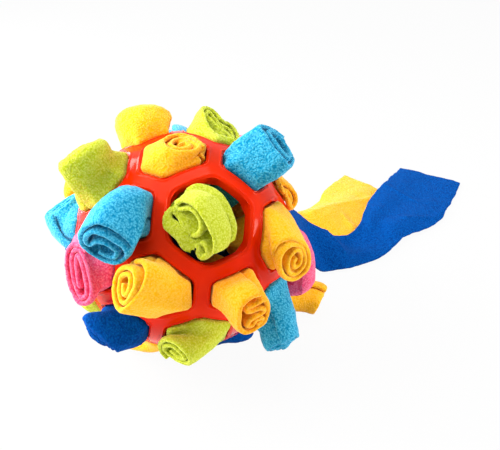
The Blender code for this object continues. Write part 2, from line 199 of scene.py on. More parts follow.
def add_object(name, data):
    made = bpy.data.objects.new(name, data)
    bpy.context.scene.collection.objects.link(made)
    return made


def mesh_object(name, points, quads, finish):
    mesh = bpy.data.meshes.new(name)
    points = np.ascontiguousarray(points, np.float32)
    quads = np.ascontiguousarray(quads, np.int32)
    mesh.vertices.add(len(points))
    mesh.vertices.foreach_set("co", points.ravel())
    mesh.loops.add(quads.size)
    mesh.loops.foreach_set("vertex_index", quads.ravel())
    mesh.polygons.add(len(quads))
    mesh.polygons.foreach_set("loop_start", np.arange(0, quads.size, 4, dtype=np.int32))
    mesh.update(calc_edges=True)
    mesh.shade_smooth()
    mesh.materials.append(finish)
    return add_object(name, mesh)


def normals_of(mesh):
    normals = np.empty(3 * len(mesh.vertices), np.float32)
    mesh.vertex_normals.foreach_get("vector", normals)
    return normals.reshape(-1, 3)


def with_edges(places):
    """Places across a sheet, with the rows that round its two cut edges."""
    low, high = places[0], places[-1]
    near = HALF_FLEECE * CUT_EDGE_ROWS
    clear = 1.6 * HALF_FLEECE
    middle = places[(places > low + clear) & (places < high - clear)]
    return np.concatenate([[low], low + near, middle, high - near[::-1], [high]])


def edge_profile(places):
    """The share of the full thickness at each place: a half circle at the cut edges."""
    inset = np.clip(np.minimum(places - places[0], places[-1] - places) / HALF_FLEECE, 0, 1)
    return np.sqrt(1 - (1 - inset) ** 2)


def sheet_profile(u, v):
    """The share of the full thickness over a whole sheet."""
    return np.minimum(edge_profile(u)[:, None], edge_profile(v)[None])


def flat_size(grid):
    """The sides of the flat cut that a sheet's grid comes from, as its mean lengths."""
    long, wide = (
        float(np.linalg.norm(np.diff(grid, axis=way), axis=2).sum(axis=way).mean())
        for way in (0, 1)
    )
    return wide, long


def quads_of(table):
    return np.stack([table[:-1, :-1], table[1:, :-1], table[1:, 1:], table[:-1, 1:]], axis=-1)


def sheet_mesh(name, grid, half, finish, seed, floor=False, rough=None,
               nap=NAP_HEIGHT, lumps=LUMP_HEIGHT):
    """A closed sheet about a grid of points of its middle surface, half as thick as given."""
    rows, columns = grid.shape[:2]
    normal = np.cross(np.gradient(grid, axis=0), np.gradient(grid, axis=1))
    normal /= np.maximum(np.linalg.norm(normal, axis=2, keepdims=True), 1e-12)
    top = (grid + normal * half[..., None]).reshape(-1, 3)
    under = (grid - normal * half[..., None]).reshape(-1, 3)
    index = np.arange(rows * columns).reshape(rows, columns)
    inner = np.zeros((rows, columns), bool)
    inner[1:-1, 1:-1] = True
    below = index.copy()
    below[inner] = rows * columns + np.arange(inner.sum())
    points = np.concatenate([top, under[inner.ravel()]])
    quads = np.concatenate([
        quads_of(index).reshape(-1, 4), quads_of(below).reshape(-1, 4)[:, ::-1],
    ])
    made = mesh_object(name, points, quads, finish)
    out = normals_of(made.data)
    amount = lumps * noise(points, LUMP_SIZE, seed)
    amount = amount + lumps * 0.5 * noise(points, LUMP_SIZE / 2, seed + 1)
    amount = amount + nap * noise(points, NAP_SIZE, seed + 2)
    if rough is not None:
        amount = amount * np.concatenate([rough.ravel(), rough[inner]])
    points = points + out * amount[:, None]
    if floor:
        lowest = FLOOR_GAP + FLOOR_UNEVENNESS * (1 + noise(points, FLOOR_GRAIN, seed))
        points[:, 2] = np.maximum(points[:, 2], lowest)
    made.data.vertices.foreach_set("co", np.ascontiguousarray(points, np.float32).ravel())
    made.data.update()
    return made


def dress(piece, node, body, flat=None):
    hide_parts(node)
    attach(piece, body)


# Materials


def node_material(name):
    made = bpy.data.materials.new(name)
    made.use_nodes = True
    return made, made.node_tree, made.node_tree.nodes["Principled BSDF"]


def set_inputs(tree, node, values):
    """Each input, by name or number: a value, or another node's output to link to it."""
    for name, value in values.items():
        if isinstance(value, bpy.types.NodeSocket):
            tree.links.new(value, node.inputs[name])
        else:
            node.inputs[name].default_value = value


def add_node(tree, kind, values, **settings):
    """A shader node of this kind, as its outputs."""
    made = tree.nodes.new("ShaderNode" + kind)
    for name, value in settings.items():
        setattr(made, name, value)
    set_inputs(tree, made, values)
    return made.outputs


def add_ramp(tree, share, *stops):
    ramp = tree.nodes.new("ShaderNodeValToRGB")
    for element, (position, colour) in zip(ramp.color_ramp.elements, stops):
        element.position = position
        element.color = (*colour, 1)
    set_inputs(tree, ramp, {"Fac": share})
    return ramp.outputs["Color"]


def fleece_material(name, deep, light, sheen):
    """Brushed fleece: small round tufts, with painted light on their tops and painted shade between
    them, and a pale sheen.
    """
    made, tree, shader = node_material(name)
    place = add_node(tree, "TexCoord", {})["Object"]
    drift = add_node(tree, "TexNoise", {"Vector": place, "Scale": 420, "Detail": 2})["Color"]
    shift = {0: drift, 1: (0.0016, 0.0016, 0.0016), 2: place}
    shifted = add_node(tree, "VectorMath", shift, operation="MULTIPLY_ADD")["Vector"]
    cells = {"Vector": shifted, "Scale": 980, "Smoothness": 0.5}
    tufts = add_node(tree, "TexVoronoi", cells, feature="SMOOTH_F1")["Distance"]
    between = add_node(tree, "Math", {0: 0.62, 1: tufts}, operation="SUBTRACT")[0]
    fibres = add_node(tree, "TexNoise", {"Vector": place, "Scale": 1500, "Detail": 2})["Fac"]
    mixed = {0: fibres, 1: 0.7, 2: between}
    height = add_node(tree, "Math", mixed, operation="MULTIPLY_ADD")[0]
    relief = {"Height": height, "Strength": 0.6, "Distance": 0.0006}
    set_inputs(tree, shader, {
        # The colour ramp follows the tufts' height: painted shade between the tufts, painted light
        # on their tops.
        "Base Color": add_ramp(tree, height, (0.22, deep), (0.86, light)),
        "Normal": add_node(tree, "Bump", relief)["Normal"],
        "Roughness": 0.95,
        "Specular IOR Level": 0.02,
        "Sheen Weight": sheen,
        "Sheen Roughness": 0.4,
        "Sheen Tint": tuple(0.5 + 0.5 * part for part in light) + (1,),
    })
    return made


def rubber_material():
    """Moulded rubber: glossy, its colour and its gloss a little uneven."""
    made, tree, shader = node_material("rubber_red")
    place = add_node(tree, "TexCoord", {})["Object"]
    cloud = add_node(tree, "TexNoise", {"Vector": place, "Scale": 45, "Detail": 3})["Fac"]
    grain = add_node(tree, "TexNoise", {"Vector": place, "Scale": 260, "Detail": 4})["Fac"]
    gloss = {"Value": grain, "To Min": 0.08, "To Max": 0.16}
    relief = {"Height": grain, "Strength": 0.12, "Distance": 0.0004}
    deep, light = (0.66, 0.012, 0.0005), (0.80, 0.028, 0.0005)
    set_inputs(tree, shader, {
        "Base Color": add_ramp(tree, cloud, (0.3, deep), (0.75, light)),
        "Roughness": add_node(tree, "MapRange", gloss)["Result"],
        "Normal": add_node(tree, "Bump", relief)["Normal"],
        "Specular IOR Level": 0.16,
        "Specular Tint": (1, 0.45, 0.35, 1),
        "Subsurface Weight": 0.06,
        "Subsurface Radius": (0.004, 0.0008, 0.0003),
        "Subsurface Scale": 1.0,
    })
    return made


# Each fleece: its colour with painted shade between the tufts, its colour with painted light on the
# tufts' tops, and its sheen
FLEECE_LOOKS = {
    "yellow": ((0.94, 0.45, 0.001), (1.0, 0.55, 0.06), 0.5),
    "golden": ((0.94, 0.37, 0.001), (1.0, 0.49, 0.05), 0.5),
    "lime": ((0.44, 0.50, 0.010), (0.64, 0.69, 0.10), 0.4),
    "cyan": ((0.001, 0.22, 0.42), (0.09, 0.52, 0.74), 0.5),
    "pink": ((0.80, 0.055, 0.16), (0.95, 0.21, 0.34), 0.5),
    "blue": ((0.0004, 0.042, 0.22), (0.001, 0.088, 0.38), 0.03),
}
FLEECE = {name: fleece_material("fleece_" + name, *look) for name, look in FLEECE_LOOKS.items()}
RUBBER = rubber_material()


# The lattice


def front_frame():
    """Right, up and outward axes of the front opening, as a rotation."""
    out = Vector((
        math.sin(FRONT_TURN) * math.cos(FRONT_TILT),
        -math.cos(FRONT_TURN) * math.cos(FRONT_TILT),
        math.sin(FRONT_TILT),
    ))
    right = Vector((0, 0, 1)).cross(out).normalized()
    return Matrix((right, out.cross(right), out)).transposed()


def clock_of(point):
    return math.atan2(point.x, point.y) % math.tau


def stuffed_ring(angle):
    """Where the stuffing pushes a ring of corners at this angle from the front opening's axis."""
    degrees = math.degrees(angle)
    for i, high in enumerate(MOULDED_RINGS[1:]):
        low = MOULDED_RINGS[i]
        if degrees <= high:
            share = (degrees - low) / (high - low)
            first, last = STUFFED_RINGS[i], STUFFED_RINGS[i + 1]
            return math.radians(first + share * (last - first))
    return angle


def lattice_cage():
    """A truncated icosahedron, a hexagon on +Z, with the stuffed ball's stretch."""
    bm = bmesh.new()
    bmesh.ops.create_icosphere(bm, subdivisions=1, radius=BALL_RADIUS)
    bm.faces.ensure_lookup_table()
    bm.normal_update()
    front = bm.faces[0]
    bm.transform(front.normal.rotation_difference(Vector((0, 0, 1))).to_matrix().to_4x4())
    turn = clock_of(front.verts[0].co) - FRONT_PENTAGON_CLOCK
    bm.transform(Matrix.Rotation(turn, 4, "Z"))
    bmesh.ops.bevel(
        bm, geom=list(bm.verts), offset=100 / 3, offset_type="PERCENT",
        affect="VERTICES", segments=1,
    )
    for vert in bm.verts:
        axis = vert.co.normalized()
        ring = stuffed_ring(math.acos(max(-1, min(1, axis.z))))
        clock = clock_of(axis)
        vert.co = BALL_RADIUS * Vector((
            math.sin(ring) * math.sin(clock), math.sin(ring) * math.cos(clock), math.cos(ring),
        ))
    bm.normal_update()
    bmesh.ops.inset_individual(
        bm, faces=list(bm.faces), thickness=STRUT_WIDTH / 2, use_even_offset=True,
    )
    return bm


def opening_faces(bm):
    """The lattice's openings by ring and clock: the front one is number 0."""
    inner = [face for face in bm.faces if len(face.verts) > 4]
    middle = {face: face.calc_center_median().normalized() for face in inner}
    return sorted(inner, key=lambda face: (
        round(math.degrees(math.acos(max(-1, min(1, middle[face].z))))),
        round(math.degrees(clock_of(middle[face]))) % 360 if middle[face].z < 0.999 else 0,
    ))


def opening_axes():
    bm = lattice_cage()
    turned = front_frame()
    axes = [
        (turned @ sum((vert.co.normalized() for vert in face.verts), Vector())).normalized()
        for face in opening_faces(bm)
    ]
    bm.free()
    return axes


def rim_loops(edges):
    """The open edges as closed loops of points."""
    following = dict(map(tuple, edges.tolist()))
    while following:
        loop = [following.popitem()[1]]
        while loop[-1] in following:
            loop.append(following.pop(loop[-1]))
        yield loop


def find_openings(out, edges):
    """Each opening as its axis, and its rim's distance from the axis by angle, at unit height."""
    axes = opening_axes()
    found = [None] * len(axes)
    for loop in rim_loops(edges):
        rim = out[loop]
        number = int(np.argmax(np.array(axes) @ rim.mean(axis=0)))
        axis = axes[number]
        right, up = tangents(axis)
        x, y, height = rim @ np.array(right), rim @ np.array(up), rim @ np.array(axis)
        found[number] = (axis, np.arctan2(y, x), np.hypot(x, y) / height)
    return found


def fine_lattice():
    """The lattice's surface between its openings, as directions from the centre and quads."""
    bm = lattice_cage()
    crease = bm.verts.layers.float.new("crease_vert")
    for face in opening_faces(bm):
        for vert in face.verts:
            vert[crease] = CORNER_CREASE
    bmesh.ops.delete(bm, geom=opening_faces(bm), context="FACES")
    bm.transform(front_frame().to_4x4())
    mesh = bpy.data.meshes.new("lattice_cage")
    bm.to_mesh(mesh)
    bm.free()
    cage = add_object("lattice_cage", mesh)
    fine = cage.modifiers.new("rounded openings", "SUBSURF")
    fine.levels = fine.render_levels = LATTICE_LEVELS
    evaluated = cage.evaluated_get(bpy.context.evaluated_depsgraph_get())
    mesh = bpy.data.meshes.new_from_object(evaluated)
    bpy.data.objects.remove(cage)
    points = np.empty(3 * len(mesh.vertices), np.float32)
    mesh.vertices.foreach_get("co", points)
    quads = np.empty(len(mesh.loops), np.int32)
    mesh.loops.foreach_get("vertex_index", quads)
    points = points.reshape(-1, 3).astype(float)
    return points / np.linalg.norm(points, axis=1, keepdims=True), quads.reshape(-1, 4)


def open_edges(quads):
    """The directed edges that only one quad uses."""
    ends = np.concatenate([quads[:, [k, (k + 1) % 4]] for k in range(4)])
    _, index, uses = np.unique(
        np.sort(ends, axis=1), axis=0, return_inverse=True, return_counts=True,
    )
    return ends[uses[index.reshape(-1)] == 1]


def rim_distances(points, edges):
    """How far each point lies from the nearest edge."""
    found = KDTree(len(edges))
    for i, (start, end) in enumerate(edges):
        found.insert((points[start] + points[end]) / 2, i)
    found.balance()
    distances = np.empty(len(points))
    for i, point in enumerate(points):
        nearest = math.inf
        for _, edge, _ in found.find_n(point, 3):
            start, end = points[edges[edge][0]], points[edges[edge][1]]
            line = end - start
            share = min(1, max(0, np.dot(point - start, line) / np.dot(line, line)))
            nearest = min(nearest, math.dist(point, start + share * line))
        distances[i] = nearest
    return distances


def lattice_piece(out, quads, edges):
    """A wall of one thickness, its rims rounded outside and inside, with a bead along each."""
    from_rim = rim_distances(out * BALL_RADIUS, edges)
    inset = np.clip(from_rim / RIM_ROUNDING, 0, 1)
    drop = RIM_ROUNDING * (1 - np.sqrt(1 - (1 - inset) ** 2))
    bead = BEAD_HEIGHT * np.exp(-((from_rim - BEAD_INSET) / BEAD_WIDTH) ** 2)
    layers = [
        out * (BALL_RADIUS - drop + bead)[:, None],
        out * (BALL_RADIUS - BALL_WALL + drop)[:, None],
    ]
    count = len(out)
    faces = [quads, quads[:, ::-1] + count]
    rim = np.unique(edges)
    place = np.full(count, -1)
    place[rim] = np.arange(len(rim))
    start, end = edges[:, 0], edges[:, 1]
    above = np.stack([end, start], axis=1)
    for ring in range(1, WALL_RINGS):
        share = ring / WALL_RINGS
        radius = BALL_RADIUS - RIM_ROUNDING - share * (BALL_WALL - 2 * RIM_ROUNDING)
        layers.append(out[rim] * radius)
        here = 2 * count + (ring - 1) * len(rim)
        below = np.stack([place[end], place[start]], axis=1) + here
        faces.append(np.concatenate([above, below[:, ::-1]], axis=1))
        above = below
    below = np.stack([end, start], axis=1) + count
    faces.append(np.concatenate([above, below[:, ::-1]], axis=1))
    points = np.concatenate(layers)
    return mesh_object("rubber_lattice", points + np.array(CENTRE), np.concatenate(faces), RUBBER)


# The rolls


@dataclass
class Spiral:
    """A rolled strip seen end on. Lengths are in millimetres."""

    wide: float  # half its width
    slim: float  # half its height
    turns: float = 3.3
    flap: float = 90  # the outer end's clock, in degrees
    core: float = 1.5  # the inmost turn's radius


@dataclass
class Look:
    """How a roll's cloth lies. Lengths are in millimetres."""

    tip: float = 1.0  # the free end's size against the body's
    swell: float = 0.05  # how much the body bulges between the mouth and the end
    open_out: float = 11  # how far beyond the mouth the roll has its full size
    ease: float = 0.8  # below 1 it opens at once, above 1 slowly
    neck: tuple = None  # where it hangs loose: its size at the inner end and at the mouth
    curl: float = 0.6  # how far the end's outer layers turn in
    pushed: float = 0.0  # how far the middle stands out of the end
    ragged: float = 0.6  # how uneven the cut end is
    askew: tuple = (0, 1)  # how far the outer layer's edge lies back, and over what length
    lift: float = 0.3  # how far the outer end stands off
    wave: float = 0.8  # how far loose layers wander
    dents: tuple = ()  # each: clock, distance beyond the mouth, depth, width, length
    fine: bool = True  # a fine mesh, for what is seen closely
    floor: bool = False  # pressed flat where it meets the floor


def tangents(axis):
    """Right and up on the ball's surface, seen from outside, where axis leaves it."""
    up = (Vector((0, 0, 1)) - axis * axis.z).normalized()
    return up.cross(axis), up


def leaning(axis, lean, clock):
    """The direction that leans away from axis, towards a clock on the ball's surface."""
    right, up = tangents(axis)
    away = right * math.sin(math.radians(clock)) + up * math.cos(math.radians(clock))
    return axis * math.cos(math.radians(lean)) + away * math.sin(math.radians(lean))


def lengths(points):
    """How far along a line each of its points lies."""
    return np.concatenate([[0], np.cumsum(np.linalg.norm(np.diff(points, axis=0), axis=1))])


def spiral_section(spiral, hand):
    """A rolled strip's middle line from its outer end in, and its outer turn's length."""
    wide, slim = spiral.wide * MM, spiral.slim * MM
    turned = np.linspace(0, 1, SECTION_POINTS)
    angle = math.radians(spiral.flap) + hand * math.tau * spiral.turns * turned
    outer = slim - HALF_FLEECE
    radius = outer - (outer - spiral.core * MM) * turned
    side = np.tanh(2.2 * np.cos(angle)) / math.tanh(2.2)
    x = (wide - slim) * side + radius * np.cos(angle)
    return np.stack([x, radius * np.sin(angle)], axis=1), math.tau * (wide + slim) / 2


def drawn_section(numbers):
    """The same for a drawn line, in millimetres, whose whole length is seen."""
    points = np.reshape(numbers, (-1, 2))
    places = np.linspace(0, len(points) - 1, SECTION_POINTS)
    line = cubic(points, places) * MM
    return line, float(lengths(line)[-1])


def envelope(section, angle):
    """How far out the section reaches in the direction of each angle."""
    clocks = np.linspace(-math.pi, math.pi, 73)[:-1]
    found = np.arctan2(section[:, 1], section[:, 0])
    radius = np.hypot(section[:, 0], section[:, 1])
    reach = np.array([
        radius[np.abs(np.angle(np.exp(1j * (found - clock)))) < 0.12].max(initial=0)
        for clock in clocks
    ])
    reach = np.maximum(reach, 0.4 * reach.max())
    for _ in range(2):
        reach = (np.roll(reach, 1) + 2 * reach + np.roll(reach, -1)) / 4
    return np.interp(angle, clocks, reach, period=math.tau)


def bent_path(start, mouth, axis, tip, facing):
    """A path straight up to the mouth and curved from there to the tip, which faces its own way."""
    gap = (tip - mouth).length
    controls = (mouth, mouth + axis * (0.42 * gap), tip - facing * (0.38 * gap), tip)
    share = np.linspace(0, 1, BEND_POINTS)[:, None]
    rest = 1 - share
    weights = (rest ** 3, 3 * share * rest ** 2, 3 * share ** 2 * rest, share ** 3)
    curve = sum(weight * np.array(control) for weight, control in zip(weights, controls))
    straight = np.linspace(0, 1, STRAIGHT_STEPS + 1)[:-1, None]
    return np.concatenate([np.array(start) * (1 - straight) + np.array(mouth) * straight, curve])


def carried(axis, ways, along):
    """A direction square to axis, carried along as the roll turns from axis to each way."""
    return np.array([
        axis.rotation_difference(Vector(way)).to_matrix() @ along for way in ways
    ])


def read_off(places, run, values):
    """Points or directions given along a line, at any places on it."""
    return np.stack([np.interp(places, run, values[:, k]) for k in range(3)], axis=-1)


def section_frames(path, axis, facing, turned):
    """The path and the section's two directions on it, carried a little past the tip.

    Before the three comes how far along they are given, and after them where mouth and tip lie.
    """
    run = lengths(path)
    mouth_run, tip_run = float(run[STRAIGHT_STEPS]), float(run[-1])
    share = smooth(run, mouth_run, tip_run)[:, None]
    ways = (1 - share) * np.array(axis) + share * np.array(facing)
    right, up = tangents(axis)
    across = carried(axis, ways, right * math.cos(turned) + up * math.sin(turned))
    upward = carried(axis, ways, up * math.cos(turned) - right * math.sin(turned))
    onward = (path[-1] - path[-2]) / (tip_run - run[-2])
    past = (path[-1:] + onward * OVERRUN, across[-1:], upward[-1:])
    path, across, upward = (
        np.concatenate(pair) for pair in zip((path, across, upward), past)
    )
    return np.append(run, tip_run + OVERRUN), path, across, upward, mouth_run, tip_run


def roll_places(length, outer, mouth_run, tip_run, fine):
    """Places along the strip and along the roll: the hidden ones lie further apart."""
    step = FINE_STEP if fine else COARSE_STEP
    shown = OUTER_TURN_SHARE * outer
    u = np.concatenate([
        steps_between(0, min(shown, length), step),
        steps_between(min(shown, length - 0.001), length, INNER_TURN_STEP * step)[1:],
    ])
    neck = mouth_run - NECK_LENGTH
    v = np.concatenate([
        steps_between(0, neck, INNER_STEP), steps_between(neck, tip_run, step)[1:],
    ])
    return with_edges(u), with_edges(v)


def cut_end(look, u, depth, seed):
    """How far each place's end lies beyond the roll's: it isn't cut square, and layers slip."""
    edge = look.ragged * (
        line_noise(u, CUT_WAVE, 31 * seed) + 0.4 * line_noise(u, CUT_RIPPLE, seed)
    )
    back, over = look.askew
    return (edge + look.pushed * (1 - depth) - back * (1 - smooth(u, 0, over * MM))) * MM


def loose_shifts(look, x, y, v, depth, free, seed):
    """How layers wander, more towards the middle of the roll and towards its free end."""
    spread = np.stack(np.broadcast_arrays(x[:, None], y[:, None], 0.35 * v[None]), axis=-1)
    loose = smooth(1 - depth, 0.02, 0.5)[:, None] * (0.4 + 0.6 * free)[None]
    for k in range(2):
        wander = noise(spread.reshape(-1, 3), LOOSE_WAVE, 17 * seed + k).reshape(loose.shape)
        yield look.wave * MM * wander * loose


def pressed_section(look, rim, angle, radius, depth, height, into_mouth, open_up):
    """The section's size in the opening's outline, and the share of its thickness that is left."""
    if look.neck:
        inner, outer = look.neck
        return radius[:, None] * (inner + (outer - inner) * into_mouth)[None], np.ones_like(open_up)
    left = 1 - NECK_SQUEEZE * (1 - open_up)
    clear = np.interp(angle, *rim, period=math.tau)[:, None]
    return (clear * height - NECK_CLEARANCE - HALF_FLEECE * left) * depth[:, None], left


def open_section(look, u, angle, radius, depth, free, outward, ending, open_up):
    """The section's size beyond the opening: swelled, lifted, turned in and dented."""
    body = (1 + look.swell * np.sin(np.pi * free)) * (1 + (look.tip - 1) * smooth(free, 0.3, 1))
    lifted = (look.lift * MM * np.exp(-(u / LIFTED_LENGTH) ** 2))[:, None] * open_up
    full = radius[:, None] * body[None] + lifted
    full = full - look.curl * MM * ending * smooth(depth, 0.3, 0.9)[:, None]
    for clock, place, deep, wide, long in look.dents:
        beside = np.angle(np.exp(1j * (angle - math.radians(clock)))) / wide
        dent = np.exp(-beside ** 2)[:, None] * np.exp(-((outward - place * MM) / (long * MM)) ** 2)
        full = full - deep * MM * dent * smooth(depth, 0.4, 0.9)[:, None]
    return full


def kept_off_ball(grid, outward, depth, axis):
    """Beyond the mouth the cloth lies on the ball, never in it."""
    far = np.linalg.norm(grid, axis=2)
    least = BALL_RADIUS + HALF_FLEECE + BALL_GAP + LAYER_GAP * (1 - depth)[:, None]
    least = least - MOUTH_DIP * (1 - smooth(outward, 0, MOUTH_DIP_LENGTH))
    lies = (outward > 0) & (far < least) & (grid @ np.array(axis) > 0)
    return np.where(lies[..., None], grid * (least / far)[..., None], grid)


def roll(name, opening, colour, place, twist, section, look, seed,
         offset=(0, 0), mouth_at=None, end=None):
    """One strip, rolled up, pushed into its opening and bent over where it comes out.

    place is the tip's reach, its lean and clock, and the lean and clock that the end faces.
    section is the strip's line seen end on, and the length of it that is meshed finely.
    Lengths in place and offset are in millimetres, and angles in degrees.
    """
    axis, *rim = opening
    reach, lean, clock, face, face_clock = place
    right, up = tangents(axis)
    facing = leaning(axis, face, face_clock)
    aside = (right * offset[0] + up * offset[1]) * MM
    mouth = mouth_at or BALL_RADIUS / math.hypot(1, float(rim[1].mean())) + BEYOND_RIM
    tip = end or axis * BALL_RADIUS + leaning(axis, lean, clock) * reach * MM
    start = axis * ROLL_DEPTH_RADIUS + 0.5 * aside
    turned = math.radians(twist)
    path = bent_path(start, axis * mouth + aside, axis, tip, facing)
    run, path, across, upward, mouth_run, tip_run = section_frames(path, axis, facing, turned)

    line, outer = section
    along = lengths(line)
    u, v = roll_places(float(along[-1]), outer, mouth_run, tip_run, look.fine)
    x, y = (np.interp(u, along, line[:, k]) for k in range(2))
    angle, radius = np.arctan2(y, x), np.hypot(x, y)
    depth = radius / envelope(line, angle)
    free = np.clip((v - mouth_run) / (tip_run - mouth_run), 0, 1)
    place_at = v[None] + cut_end(look, u, depth, seed)[:, None] * free[None]
    middle = read_off(place_at, run, path)
    outward = np.clip(place_at - mouth_run, 0, None)
    open_up = np.sin(np.pi / 2 * np.clip(outward / (look.open_out * MM), 0, 1)) ** look.ease

    height = np.minimum(middle @ np.array(axis), mouth)
    into_mouth = smooth(v, 0, mouth_run)
    pressed, left = pressed_section(
        look, rim, angle + turned, radius, depth, height, into_mouth, open_up,
    )
    ending = smooth(place_at, tip_run - CURLED_LENGTH, tip_run)
    full = open_section(look, u, angle, radius, depth, free, outward, ending, open_up)
    size = pressed + (full - pressed) * open_up
    shift_x, shift_y = loose_shifts(look, x, y, v, depth, free, seed)
    sideways = np.cos(angle)[:, None] * size + shift_x * open_up
    upwards = np.sin(angle)[:, None] * size + shift_y * open_up
    grid = middle + read_off(place_at, run, across) * sideways[..., None]
    grid = grid + read_off(place_at, run, upward) * upwards[..., None]
    grid = kept_off_ball(grid, outward, depth, axis)

    made = sheet_mesh(
        name + "_cloth", grid + np.array(CENTRE), HALF_FLEECE * left * sheet_profile(u, v),
        FLEECE[colour], seed, look.floor, rough=0.2 + 0.8 * smooth(outward, 0, 0.004),
    )
    dress(made, name, name + "_body", flat_size(grid))


# The ends that are seen closely: points on the strip's middle line from its outer end inward,
# each as its millimetres to the right of the roll's middle and then above it
DRAWN = {
    "cyan_roll_left": (
        13.6, 1.1, 10.4, 6.2, 6.3, 10.3, 2.1, 12.9, -2.2, 13.5, -7.1, 10.7, -11.4, 5.3,
        -13.3, -0.5, -12, -5.8, -8.3, -9.9, -3.6, -12.5, 2.1, -12.6, 7.2, -9.6, 10.8, -3.7,
        10.4, 1.1, 7.5, 4.9, 3.6, 7.2, -0.6, 8.6, -4.9, 8.3, -8.7, 5.2, -10.3, 0.5, -8.3, -2.5,
        -4.4, 1.1, -0.2, 1.8, 3.3, 0, 5.2, -3.8, 3.6, -7.9, -0.3, -8.1, -4.6, -6.2,
    ),
    "pink_roll_left": (
        5.8, 11.4, 1.9, 14.3, -3.5, 13.7, -7.1, 9.9, -8, 3.8, -6.9, -3.7, -3.8, -10.5, 0.8, -14.5,
        5.5, -13.9, 8.3, -9.6, 7.9, -2.7, 6.2, 4.1, 3.7, 9.5, 0.1, 12, -3.3, 10.4, -4.5, 5.6,
        -3.8, -1.4, -1.6, -7.7, 1.3, -11.7, 4.6, -11, 5.4, -6.9, 4.3, -0.6, 2.6, 5.7, 0.3, 9,
        -1.2, 6.9, -0.8, 0.4, 0.5, -5.5, 1.9, -7.3,
    ),
    "yellow_roll_lower_left": (
        1.9, 12.6, 6.2, 13, 10.1, 9.5, 10.1, 4.4, 6.8, -1.8, 1.8, -7.3, -3.8, -10.7, -7.8, -8.2,
        -9.3, -2.1, -8.5, 4.6, -4.7, 8.9, 0.4, 10.3, 5.1, 9, 6.9, 5.6, 5.8, 0.4, 2.1, -4.7,
        -1.9, -7.2, -4.8, -4.6, -5.5, 1, -4, 5.4, -0.3, 7.2, 2.9, 5.8, 2.6, 1.6, 0, -2.8,
        -2, -1.6, -1.4, 2.7,
    ),
    "yellow_roll_right": (
        -6.1, -9.2, -10.2, -3.3, -12.3, 4.4, -10.5, 10.3, -6.7, 13.2, -1.5, 13.3, 4.7, 9.4,
        9, 3.2, 10.3, -3.1, 8.2, -8.3, 2.8, -11.1, -3, -10.1, -8.2, -5.2, -10.7, 2.1, -8.9, 8.3,
        -3.7, 10.8, 3, 8.2, 6.7, 2.3, 7.3, -3.2, 4.7, -6.7, 0, -8.2, -4.2, -4.9, -5.3, -0.1,
        -3.5, 4.1, 0.1, 6.6, 3.2, 5, 4.4, 0.8, 3.2, -2.6, 0.1, -3.6, -1.1, -0.2, 0.6, 2.4,
    ),
    "golden_roll_lower_right": (
        4.1, 10.3, -0.3, 10.8, -4.7, 9.3, -7.5, 5.7, -8.4, 0.1, -7.8, -5.5, -5.1, -9.5,
        -1.4, -10.4, 2.6, -9.3, 6.3, -7.8, 8.1, -3.6, 8.2, 1.2, 6.7, 5.7, 3.1, 5.7, -0.9, 4.8,
        -3.6, 4.6, -2.8, 1.9, 0.8, 1.6, 4.8, 1.4, 6.5, -0.8, 4.3, -1.7, 0.3, -1.9, -2.8, -3.4,
        -3.7, -5.8, -1.1, -6.7, 1.4, -4.5, 4.3, -4.3, 5.4, -5.8, 3.7, -7, 1.5, -7.5,
    ),
    "lime_roll_bottom": (
        -6, -10, -10.1, -7.6, -10.8, -2, -7, 5.7, -0.7, 9.8, 5.1, 9.4, 9.9, 6.6, 11.2, 2, 7.9, -3,
        1.8, -5.1, -3.5, -5.6, -7.4, -3.9, -6.5, 0.9, -1.9, 4.5, 3.3, 4.1, 7.3, 1.8, 4.8, -1,
        0.6, -0.8, -2.6, 0,
    ),
    "lime_roll_top": (
        8.8, -12.3, 4.3, -11.4, -0.9, -10.7, -5.4, -8, -9.3, -2.4, -11.5, 3.5, -9.9, 9,
        -5.8, 11.2, -2, 8.9, 0.5, 5.2, 5, 8.2, 9.1, 5.2, 11.2, -2.6, 9.1, -9.5, 4.8, -6.5,
        -0.4, -5.1, -5.8, -1.9, -8.6, 3.2, -6.9, 7.4, -3.4, 3.7, 0.6, 0.1, 5.2, 1.2, 8.3, -2.9,
        6.7, -6, 2.1, -3.9, -2.6, -1.2,
    ),
    "cyan_roll_upper_right": (
        5.6, 16.3, -0.4, 15.2, -7.2, 10.4, -11.7, 4.3, -9.6, 0.3, -3.4, -5.5, 3.4, -10.1,
        8.9, -9.2, 12, -0.7, 10.2, 5.9, 6, 10.4, 0.1, 10.6, -5.1, 7.6, -6.7, 2.3, -3.3, -1.9,
        2.2, -5.8, 6.9, -5.9, 7.7, 0.6, 3.1, 4.5, -1.2, 5.7,
    ),
    "yellow_roll_upper_front": (
        11.3, -2.5, 7.6, 4.7, 2.6, 9.8, -2.6, 10.6, -7.5, 7.2, -10.3, -0.4, -8.7, -6.8,
        -4.4, -10.1, 1.1, -10.5, 6.3, -8.2, 9, -3.1, 5.2, 2.1, 0.3, 5.5, -4.3, 3.3, -6, -2.9,
        -2.7, -6.7, 1.7, -6.4, 4, -2.3, 0.7, 0.2, -1.8, -2.4,
    ),
    "golden_roll_right": (
        -5.4, 0.6, -7.5, 3.3, -5.2, 6.6, -1.1, 8, 3.4, 5.4, 6.7, 1.4, 7.2, -2.9, 4.5, -6.5,
        0.4, -7.6, -2.7, -5.3, -3.8, -1.7, -3.1, 2.6, -0.4, 4.3, 2.4, 2.1, 3.8, -1.6, 2.1, -4.6,
        -0.4, -3.6, -0.4, -0.5,
    ),
}

PLAIN = Look(fine=False)
FLOORED = Look(fine=False, floor=True)
